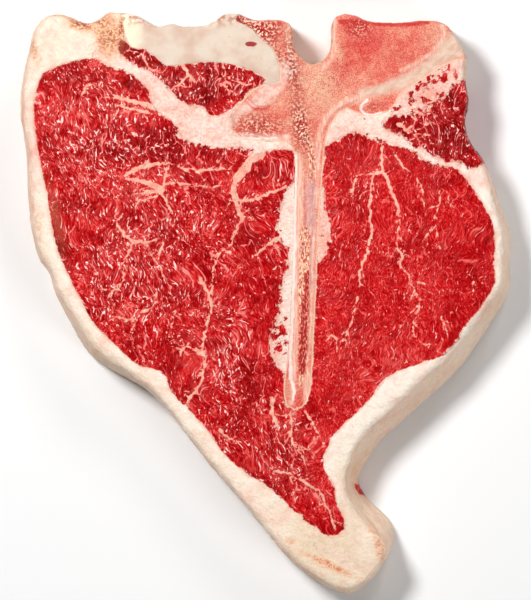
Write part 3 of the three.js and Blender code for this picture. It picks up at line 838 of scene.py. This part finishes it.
def flesh_material(name, deep, fat, wetness=1.0, fineness=1.0, relief=1.0, rims=0.95, grain=0.6, lean=0.0,
                   mottle=0.85):
    """Muscle where a point lies in meat and fat where it doesn't, with threads of fat through the meat."""
    material, tree = new_material(name)
    where = position_mm(tree)
    meat, thread = attribute(tree, "meat"), attribute(tree, "thread")
    haze = plus(tree, attribute(tree, "haze"), step(tree, thread, -1.2, 0.2, 0.0, 0.3))
    muscle = use_group(tree, CUT_MUSCLE, Pale=PALE_STROKE_AND_GLINT, Flush=FLUSH, Deep=deep, Haze=haze,
                       Wetness=times(tree, attribute(tree, "fleck_and_glint"), wetness),
                       Darkness=attribute(tree, "dark"), Fineness=fineness, Relief=relief, Rims=rims,
                       Lean=math.radians(-lean), Mottle=mottle)
    pink = plus(tree, attribute(tree, "pink"), step(tree, meat, -1.5, 0.0, 0.0, 0.6))
    lard = use_group(tree, FAT, Base=fat, Blush=BLUSH_FAT, Tan=TAN_FAT, Blush_amount=pink,
                     Tan_amount=attribute(tree, "tan"), Depth=meat, Grain=grain)

    reach = plus(tree, FRAY, times(tree, attribute(tree, "ragged"), 2.2))
    in_meat = use_group(tree, FRAYED_EDGE, Depth=meat, Reach=reach, Softness=0.25, Tatters=2.2)["Mask"]
    in_thread = use_group(tree, FRAYED_EDGE, Depth=thread, Reach=0.42, Softness=0.25, Tatters=1.7)["Mask"]
    filled = step(tree, noise(tree, where, 3.0), 0.38, 0.56, 0.7, 1.0)
    scraps_at = stretched(tree, warped(tree, where, 3.0, 2.0), 2.2, 1.0, 1.0, turn=34)
    scraps = noise(tree, scraps_at, 1.3, detail=4.0, roughness=0.6)
    crumbs = attribute(tree, "crumbs")
    kept = minus(tree, 0.82, times(tree, crumbs, 0.34))
    meat_bits = step(tree, scraps, kept, plus(tree, kept, 0.05))
    kept = plus(tree, 0.18, times(tree, crumbs, 0.24))
    fat_bits = step(tree, scraps, minus(tree, kept, 0.05), kept)
    in_meat = times(tree, calc(tree, "MAXIMUM", in_meat, meat_bits), fat_bits)

    facing = add_node(tree, "ShaderNodeNewGeometry", out="Normal")
    upright = calc(tree, "ABSOLUTE", axis_of(tree, facing, "Z"))
    rounded = times(tree, step(tree, upright, 0.99, 0.88), step(tree, meat, -1.0, -3.0))
    dry = step(tree, axis_of(tree, where, "Z"), RUST_FROM, RUST_FULL)
    rust = times(tree, attribute(tree, "rust"), dry)
    granules = noise(tree, where, 0.9, roughness=0.6)
    flaky = times(tree, plus(tree, scraps, granules), 0.5)
    aged = step(tree, plus(tree, flaky, times(tree, rust, 0.4)), 0.6, 0.84)
    crust = mix(tree, step(tree, granules, 0.4, 0.6), RUST, PALE_RUST)
    burnt = times(tree, step(tree, rust, 0.85, 1.4), step(tree, granules, 0.6, 0.44))
    lard_color = laid_over(
        tree, lard["Color"],
        (rounded, 0.5, ROUNDED_FAT),
        # Steep walls of fat are darkened: partly the outer skin's own colour, partly painted shade.
        (step(tree, upright, 0.8, 0.35), 0.38, SKIN_FAT_AND_SHADE, "MULTIPLY"),
        (aged, 0.95, mix(tree, burnt, crust, BURNT)))
    meat_color = laid_over(
        tree, muscle["Color"],
        (step(tree, in_thread, 0.0, 0.5), 1.0, FLUSH),
        (step(tree, in_thread, 0.3, 0.9), filled, THREAD_FAT),
        (rust, 0.5, RUSTY_MEAT))
    height = between(tree, in_meat, lard["Height"], muscle["Height"])
    shine = plus(tree, times(tree, muscle["Gloss"], 0.45), 0.06)
    finish_surface(tree, mix(tree, in_meat, lard_color, meat_color),
                   height=plus(tree, height, times(tree, in_thread, 0.1)),
                   roughness=step(tree, in_meat, 0.0, 1.0, 0.5, 0.4),
                   wet=between(tree, in_meat, 0.3, shine))
    return material


# -------------------- strip loin
# The long back muscle, the largest of the cut: coarse bundles, well marbled, wet from the saw.
loin_meat = flesh_material("loin_flesh", shade(205, 140, 160), shade(246, 222, 204), lean=14)
strip_loin = cut_from_slab("strip_loin", "strip_loin_meat")
mark_flesh(strip_loin)
strip_loin.data.materials.append(loin_meat)
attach(strip_loin, "root")
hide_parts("strip_loin")

# -------------------- flank muscle
# The muscle beside the stem of the bone, tapering into the tail. A thin, broken seam of fat parts it from
# the loin, and its finish is the loin's.
flank = cut_from_slab("flank_muscle", "flank_meat")
mark_flesh(flank)
flank.data.materials.append(loin_meat)
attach(flank, "root")
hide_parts("flank_muscle")

# -------------------- tenderloin
# The round fillet under the spine: the finest grain of the steak, clear red, with pale forking veins.
fillet_meat = flesh_material("fillet_flesh", shade(215, 150, 165), shade(246, 218, 200), wetness=0.5,
                             fineness=1.15, relief=0.4, rims=0.75, lean=-8, mottle=0.55)
tenderloin = cut_from_slab("tenderloin", "tenderloin_meat")
mark_flesh(tenderloin, relief=0.3)
tenderloin.data.materials.append(fillet_meat)
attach(tenderloin, "root")
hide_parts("tenderloin")

# -------------------- small dark muscles
# Two small working muscles beside the spine, darker than the rest, with white flecks of fat in them.
dark_meat = flesh_material("dark_flesh", shade(190, 110, 130), shade(246, 216, 200), rims=1.05)
for node, name in (("multifidus", "multifidus_meat"), ("psoas_minor", "psoas_minor_meat")):
    small = cut_from_slab(node, name)
    mark_flesh(small)
    small.data.materials.append(dark_meat)
    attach(small, "root")
    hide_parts(node)

# -------------------- fat rim
# The firm cream fat under the hide, trimmed to a thin band round the back, and the belly fat opposite.
STRAY_MEAT = shade(215, 150, 165)
back_lard = flesh_material("back_lard", STRAY_MEAT, shade(254, 234, 216), grain=0.15)
belly_lard = flesh_material("belly_lard", STRAY_MEAT, shade(255, 242, 228), grain=0.15)
for node, name, lard in (("back_fat", "back_rim_fat", back_lard),
                         ("belly_fat", "belly_rim_fat", belly_lard)):
    rim = cut_from_slab(node, name)
    mark_flesh(rim)
    rim.data.materials.append(lard)
    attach(rim, "root")
    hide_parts(node)

# -------------------- inner fat
# Soft pink-white fat that fills the seams between muscles and pads the bone on both sides of its stem.
inner_fat = flesh_material("inner_lard", STRAY_MEAT, shade(250, 222, 208), grain=0.45)
for node in ("seam_fat", "chine_fat", "stem_fat_left", "stem_fat_right"):
    pad = cut_from_slab(node, node + "_pad")
    mark_flesh(pad)
    pad.data.materials.append(inner_fat)
    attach(pad, "root")
    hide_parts(node)

# -------------------- bone
# The halved vertebra. Sawn bone is a sponge: cream struts round pores of red marrow, in a thin hard shell.
# Gristle caps the body and the joint, and grooves and a dense line run down the stem.
BONE_SPOTS = {
    "red": [
        (36, 96, 13, 8, 15, 1.0), (28, 86, 10, 5, 40, 0.95), (50, 93, 14, 7, 20, 0.65),
        (33.5, 101.5, 5.5, 4.5, 0, 1.5), (46, 104.0, 18, 1.8, 0, 1.4), (46, 86, 12, 3, 30, 0.4),
        (-3, 65.5, 10, 4.5, 0, 0.6), (-3, 101, 9, 6, -25, 1.0), (0, 102.5, 6, 3, -5, 1.1),
        (3, 98.5, 4, 3, 0, 1.0), (11, 84, 4, 16, 12, 0.7), (14, 64, 5, 10, 10, 0.7),
        (41, 72.6, 5, 2.4, 5, 0.7), (14, -8, 2.2, 14, 0, 0.5), (12, -36, 4, 4, 0, 0.9),
    ],
    "pits": [
        (-2, 100, 7, 5, -25, 1.1), (-6, 105, 7, 3, -10, 1.0), (-5, 96, 2.4, 1, 0, 1.1),
        (10, 88, 2.5, 12, 8, 0.8), (13, 66, 3.0, 9, 10, 1.0), (34.5, 101.5, 4, 3.5, 0, 0.6),
        (5, 92, 2, 5, 20, 0.6), (0, 102, 6, 3, -5, 0.9), (-3, 65.5, 9, 4.4, 0, 0.65),
        (40, 72.6, 3, 1.2, 5, 0.4),
    ],
    "pale": [
        (19, 81, 9, 10, 0, 1.2), (27.2, 92.5, 2.0, 6.5, 0, 1.0), (9, 102, 2.2, 8, 0, 0.6),
        (70, 96, 7, 7, 0, 1.0), (62, 100, 5, 5, 0, 0.6), (0, 77, 7, 5, 0, 0.8), (2, 88, 3, 10, 0, 0.8),
        (12, 42, 2.6, 16, 0, 0.6), (14.2, 14, 3, 9, 0, 0.8),
    ],
}
# Each kind of line: how far its edge frays, how soft that edge is, and its lines as for the marbling.
BONE_LINES = {
    "gristle": (0.9, 1.8, [
        [3.0, 5.5, (36, 77.5), (46, 80), (56, 84.5), (64, 90)],
        [5.5, 9.0, (64, 90), (69, 94), (73, 97)],
    ]),
    "hard": (0.5, 0.8, [
        [1.0, 1.2, (25.4, 105), (25.6, 98), (24.6, 91.5), (21.5, 87)],
        [1.0, 0.8, (8.6, 104.5), (8.2, 98), (9.4, 91.5), (12.4, 87)],
        [1.2, 1.2, (-12, 60.8), (-4, 60.3), (4, 60.4), (9, 59.6)],
        [1.4, 0.9, (65.4, 102.5), (65.6, 98.5), (62.5, 94), (57, 89.6), (50, 86)],
        [2.2, 2.2, (36, 76), (28, 74), (22.6, 68.6), (20.2, 62), (19.4, 55)],
        [1.6, 1.2, (19.4, 55), (19.2, 46), (18.6, 36)],
        [1.1, 1.0, (17.6, 24), (17.2, 8), (16.9, -6), (16.4, -14), (15.4, -21)],
        [2.4, 2.0, (15.3, -25), (15.2, -36)],
        [3.6, 2.4, (11.4, 54), (12.4, 40), (12.0, 24)],
        [2.2, 1.6, (11.6, 24), (11.2, 8), (11.2, -10), (10.4, -24), (9.6, -37)],
    ]),
    "sponge": (0.8, 0.5, [
        [2.6, 2.6, (15, 62), (17.2, 54), (17.3, 46)],
        [3.6, 3.8, (14.6, 26), (14.4, 14), (14.2, 4)],
        [3.6, 3.2, (14.2, 4), (14.0, -8), (13.6, -20)],
        [2.8, 1.6, (13.6, -20), (12.8, -31)],
        [0.7, 0.5, (68, 103), (72, 99), (75, 93)],
    ]),
    "groove": (0.45, 0.3, [
        [0.5, 0.4, (34, 75.2), (27, 71.6), (22.4, 66), (20.2, 59), (18.4, 52)],
        [0.4, 0.5, (17.6, 52), (17.6, 38), (17.0, 22), (16.4, 4), (16.0, -10), (15.4, -20)],
        [0.4, 0.3, (14.4, 44), (14.6, 30), (13.6, 18)],
        [0.35, 0.3, (-6.0, 76), (-4.4, 73.4), (-1, 72.6), (3, 74), (5.4, 77.4)],
        [0.3, 0.3, (-4.6, 76.6), (-3, 74.6), (0, 74.2), (3, 75.8)],
        [0.3, 0.3, (-4, 79.4), (-1.6, 81), (1.6, 80.6)],
    ]),
    # Bright white lines: the ring in the pocket under the body is a painted highlight, the line down the
    # stem's left edge is its white edge with a painted highlight on it, and the short line under the cap is
    # a white edge.
    "pearl": (0.2, 0.3, [
        [1.0, 1.0, (11.2, 54), (11.0, 40), (10.8, 22), (10.3, 5), (9.8, -10), (9.2, -20), (9.2, -28)],
        [1.0, 0.7, (9.6, -29), (10.6, -33), (10.2, -36)],
        [0.9, 0.8, (37.5, 75), (35.6, 73), (35.8, 70.8), (38.9, 69.4), (43, 70.6)],
        [0.5, 0.5, (-12, 61.4), (-4, 60.9), (4, 61.0)],
    ]),
    "lavender": (0.4, 0.9, [
        [3.6, 3.2, (16.9, 46), (16.8, 36), (16.8, 26)],
        [1.0, 1.0, (17.4, 26), (17.2, 12), (17.0, 4)],
    ]),
    "cap": (0.7, 1.2, [
        [6.0, 5.0, (7, 86), (3, 80), (-2, 75.5)],
        [3.0, 2.6, (-4, 74), (-9, 71), (-12, 66.5)],
        [2.0, 1.6, (-12, 62), (-2, 61.6), (8, 61.4)],
    ]),
    "blush": (0.4, 0.6, [
        [0.5, 0.9, (-6.8, 74), (-5, 72.4), (-3, 71.8)],
        [0.9, 0.3, (-3, 71.8), (-0.6, 71.8), (1.6, 73)],
        [1.6, 1.0, (28, 104.0), (38, 103.6), (50, 103.2), (60, 104.0)],
        [0.8, 2.0, (15.6, 12), (15.2, 5), (14.8, 0)],
        [2.4, 2.6, (14.6, 0), (14.2, -9), (13.8, -18), (13.4, -25)],
    ]),
}
SHELL = 0.7
SAWN_FROM, SAWN_FULL = 92.0, 100.0
TOP_FROM, TOP_FULL = 8.0, 22.0
# A second grit is taken from another part of the pattern.
ELSEWHERE = (40, 40, 40)
SALMON, DEEP_SALMON, SPONGE_PALE = shade(232, 150, 126), shade(228, 104, 86), shade(230, 182, 150)
MARROW, BLUSH, SAWN_CREAM = shade(220, 62, 56), shade(206, 46, 42), shade(246, 196, 168)
DOT, MARROW_DOT = shade(226, 84, 66), shade(196, 28, 30)
GRISTLE, GRISTLE_SHADE, EDGE_WHITE_AND_GLARE = shade(230, 206, 186), shade(216, 176, 154), shade(255, 240, 234)
HARD, HARD_LIGHT = shade(232, 168, 142), shade(248, 212, 194)
CAP, CAP_LIGHT = shade(238, 180, 166), shade(250, 214, 200)
VIOLET, VIOLET_LIGHT = shade(206, 164, 164), shade(236, 200, 192)
STRUT, HOLE, GROOVE = shade(255, 226, 198), shade(176, 20, 26), shade(204, 120, 112)
SHELL_CREAM, SAW_BROWN = shade(248, 214, 182), shade(150, 56, 38)


def bone_material():
    material, tree = new_material("sawn_bone")
    where = position_mm(tree)
    line = {name: use_group(tree, FRAYED_EDGE, Depth=attribute(tree, name), Reach=reach,
                            Softness=soft)["Mask"]
            for name, (reach, soft, _) in BONE_LINES.items()}
    grit = noise(tree, where, 0.48, detail=1.5, roughness=0.6)
    grit_too = noise(tree, moved(tree, where, ELSEWHERE), 0.44, detail=1.5, roughness=0.6)
    clumps = noise(tree, where, 2.0, roughness=0.6)
    broad = noise(tree, where, 6.0, detail=3.0, roughness=0.6)
    veil = noise(tree, stretched(tree, where, 2.4, 1.0, 1.0, turn=32), 1.6, detail=3.0, roughness=0.6)
    striae = noise(tree, stretched(tree, where, 1.0, 12.0, 1.0), 0.5)
    drawn = noise(tree, stretched(tree, where, 1.0, 3.0, 1.0), 0.42, detail=1.5)
    sponge = noise(tree, where, 0.9, roughness=0.55)

    marrow = plus(tree, attribute(tree, "red"), times(tree, line["blush"], 0.6), clamp=True)
    lean = minus(tree, times(tree, clumps, 0.3), 0.15)
    cream = step(tree, plus(tree, grit_too, lean), 0.5, 0.62)
    dots = step(tree, minus(tree, grit, lean), 0.5, 0.6)
    drawn = minus(tree, drawn, times(tree, line["blush"], 0.17))
    strands = tones(tree, drawn, (0.33, 160, 24, 28), (0.4, 200, 60, 54), (0.45, 228, 130, 106),
                    (0.52, 236, 174, 142), (0.6, 252, 222, 190))
    pits = attribute(tree, "pits")
    holes = times(tree, pits, step(tree, sponge, 0.5, 0.44))
    struts = times(tree, pits, step(tree, sponge, 0.53, 0.59))
    sawn_edge = step(tree, axis_of(tree, where, "Y"), SAWN_FROM, SAWN_FULL)
    topmost = step(tree, axis_of(tree, where, "Z"), TOP_FROM, TOP_FULL, 0.15, 1.0)
    browned = times(tree, times(tree, sawn_edge, topmost), step(tree, clumps, 0.5, 0.58))
    base = laid_over(
        tree, mix(tree, step(tree, broad, 0.38, 0.64), SALMON, DEEP_SALMON),
        (marrow, 0.9, MARROW),
        (attribute(tree, "pale"), 0.75, SPONGE_PALE),
        (cream, minus(tree, 0.75, times(tree, marrow, 0.5)), SAWN_CREAM),
        (dots, plus(tree, 0.6, times(tree, marrow, 0.3)), mix(tree, marrow, DOT, MARROW_DOT)),
        (line["gristle"], 0.88, mix(tree, step(tree, veil, 0.38, 0.66), GRISTLE, GRISTLE_SHADE)),
        (line["hard"], 0.8, mix(tree, step(tree, striae, 0.4, 0.62), HARD, HARD_LIGHT)),
        (line["cap"], 0.8, mix(tree, step(tree, clumps, 0.4, 0.6), CAP, CAP_LIGHT)),
        (line["blush"], 0.85, BLUSH),
        (line["lavender"], 0.6, mix(tree, step(tree, striae, 0.4, 0.62), VIOLET, VIOLET_LIGHT)),
        (line["sponge"], 0.9, strands),
        (struts, 0.9, STRUT),
        (holes, 0.9, HOLE),
        (line["groove"], 0.6, GROOVE),
        (step(tree, attribute(tree, "shell"), SHELL, 0.0), 0.7, mix(tree, browned, SHELL_CREAM, SAW_BROWN)),
        # The pearl lines, partly white edges and partly painted highlights.
        (line["pearl"], 0.8, EDGE_WHITE_AND_GLARE))
    rough = minus(tree, 0.28, times(tree, calc(tree, "MAXIMUM", line["gristle"], line["hard"]), 0.2))
    height = times(tree, plus(tree, grit, times(tree, grit_too, 0.5)), rough)
    height = minus(tree, height, times(tree, holes, 0.5))
    height = minus(tree, height, times(tree, line["groove"], 0.2))
    finish_surface(tree, base, height, 0.5, wet=0.3)
    return material


bone = cut_from_slab("bone", "t_bone")
bone_outline = outline_of("bone")
bone_inset = -depth_in_lines(points_mm(bone), bone_outline)
bone_pits = np.clip(dabs(points_mm(bone), BONE_SPOTS["pits"]), 0, 1)
roughen(bone, "pores", ramp(bone_inset, 0.2, 1.2) * (0.35 + 0.65 * bone_pits), 1.0, 0.7)
bone_points = points_mm(bone)
for name, spots in BONE_SPOTS.items():
    mark(bone, name, dabs(bone_points, spots))
mark(bone, "shell", bone_inset)
for name, (_, _, lines) in BONE_LINES.items():
    mark(bone, name, depth_in_lines(bone_points, *threads(lines, twigs=False)))
bone.data.materials.append(bone_material())
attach(bone, "root")
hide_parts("bone")

# -------------------- cartilage
# The soft end of the spinous process: smooth pearl-white gristle, without pores, browned a little where the
# saw met it and specked with blood.
PEARL_GREY, PEARL_SHADE, PEARL_CREAM = shade(226, 208, 190), shade(214, 182, 162), shade(255, 236, 208)
SPECK_PINK, SAW_TAN, BLOOD = shade(224, 150, 134), shade(186, 110, 78), shade(158, 36, 38)


def cartilage_material():
    material, tree = new_material("gristle")
    where = position_mm(tree)
    clouding = noise(tree, where, 8.0)
    specks = noise(tree, where, 1.4, detail=3.0, roughness=0.6)
    sawn_edge = step(tree, axis_of(tree, where, "Y"), 101.0, 106.0)
    browned = times(tree, sawn_edge, step(tree, noise(tree, where, 2.0, detail=3.0), 0.46, 0.6))
    bloody = plus(tree, attribute(tree, "blood"), times(tree, specks, 0.5))
    base = laid_over(
        tree, mix(tree, step(tree, clouding, 0.35, 0.68), PEARL_GREY, PEARL_SHADE),
        (step(tree, specks, 0.6, 0.72), 0.35, SPECK_PINK),
        (step(tree, axis_of(tree, where, "X"), -43.0, -50.0), 1.0, PEARL_CREAM),
        (browned, step(tree, axis_of(tree, where, "Z"), TOP_FROM, TOP_FULL, 0.0, 0.8), SAW_TAN),
        (step(tree, bloody, 0.6, 0.8), 0.95, BLOOD))
    finish_surface(tree, base, times(tree, specks, 0.15), 0.4, wet=0.4)
    return material


BLOOD_SPOTS = [
    (-5.4, 95.8, 2.6, 1.0, 0, 1.0), (-8.0, 105.0, 3.6, 2.0, -15, 1.0), (-36, 104.6, 3.0, 0.8, 0, 0.7),
    (-28, 103.6, 2.4, 0.8, 0, 0.7),
]
cartilage = cut_from_slab("spinous_cartilage", "spine_cartilage")
mark(cartilage, "blood", dabs(points_mm(cartilage), BLOOD_SPOTS))
cartilage.data.materials.append(cartilage_material())
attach(cartilage, "root")
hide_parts("spinous_cartilage")

bpy.data.objects.remove(slab)

# -------------------- table and light
# A plain pale table under soft studio light from the upper left, with the camera straight above.
bpy.ops.mesh.primitive_plane_add(size=12, location=(0, 0, -0.0002))
table = bpy.context.object
table.name = "table"
paper = bpy.data.materials.new("pale_table")
paper.use_nodes = True
paper.node_tree.nodes["Principled BSDF"].inputs["Base Color"].default_value = (0.9, 0.9, 0.9, 1)
paper.node_tree.nodes["Principled BSDF"].inputs["Roughness"].default_value = 0.9
table.data.materials.append(paper)


def softbox(name, place, size, watts):
    light = bpy.data.lights.new(name, "AREA")
    light.shape = "DISK"
    light.size = size
    light.energy = watts
    lamp = bpy.data.objects.new(name, light)
    bpy.context.collection.objects.link(lamp)
    lamp.location = place
    x, y, z = place
    lamp.rotation_euler = (math.acos(z / np.linalg.norm(place)), 0, math.atan2(-y, -x) - math.pi / 2)


softbox("key", (-0.42, 0.4, 0.95), 0.24, 10.5)
softbox("fill", (0.75, -0.55, 0.75), 0.45, 4.5)
softbox("back", (0.35, 0.85, 0.7), 0.35, 2.8)

world = bpy.data.worlds.new("studio")
world.use_nodes = True
world.node_tree.nodes["Background"].inputs["Color"].default_value = (1, 1, 1, 1)
world.node_tree.nodes["Background"].inputs["Strength"].default_value = 0.08
bpy.context.scene.world = world
bpy.context.scene.view_settings.view_transform = "Standard"

LENS, SENSOR = 400, 36
FRAME_HEIGHT, FACE_HEIGHT = 0.222, 0.0254
camera_data = bpy.data.cameras.new("camera")
camera_data.lens = LENS
camera_data.sensor_width = SENSOR
camera = bpy.data.objects.new("camera", camera_data)
camera.location = (0, 0.0011, FACE_HEIGHT + FRAME_HEIGHT * LENS / SENSOR)
bpy.context.collection.objects.link(camera)
bpy.context.scene.camera = camera
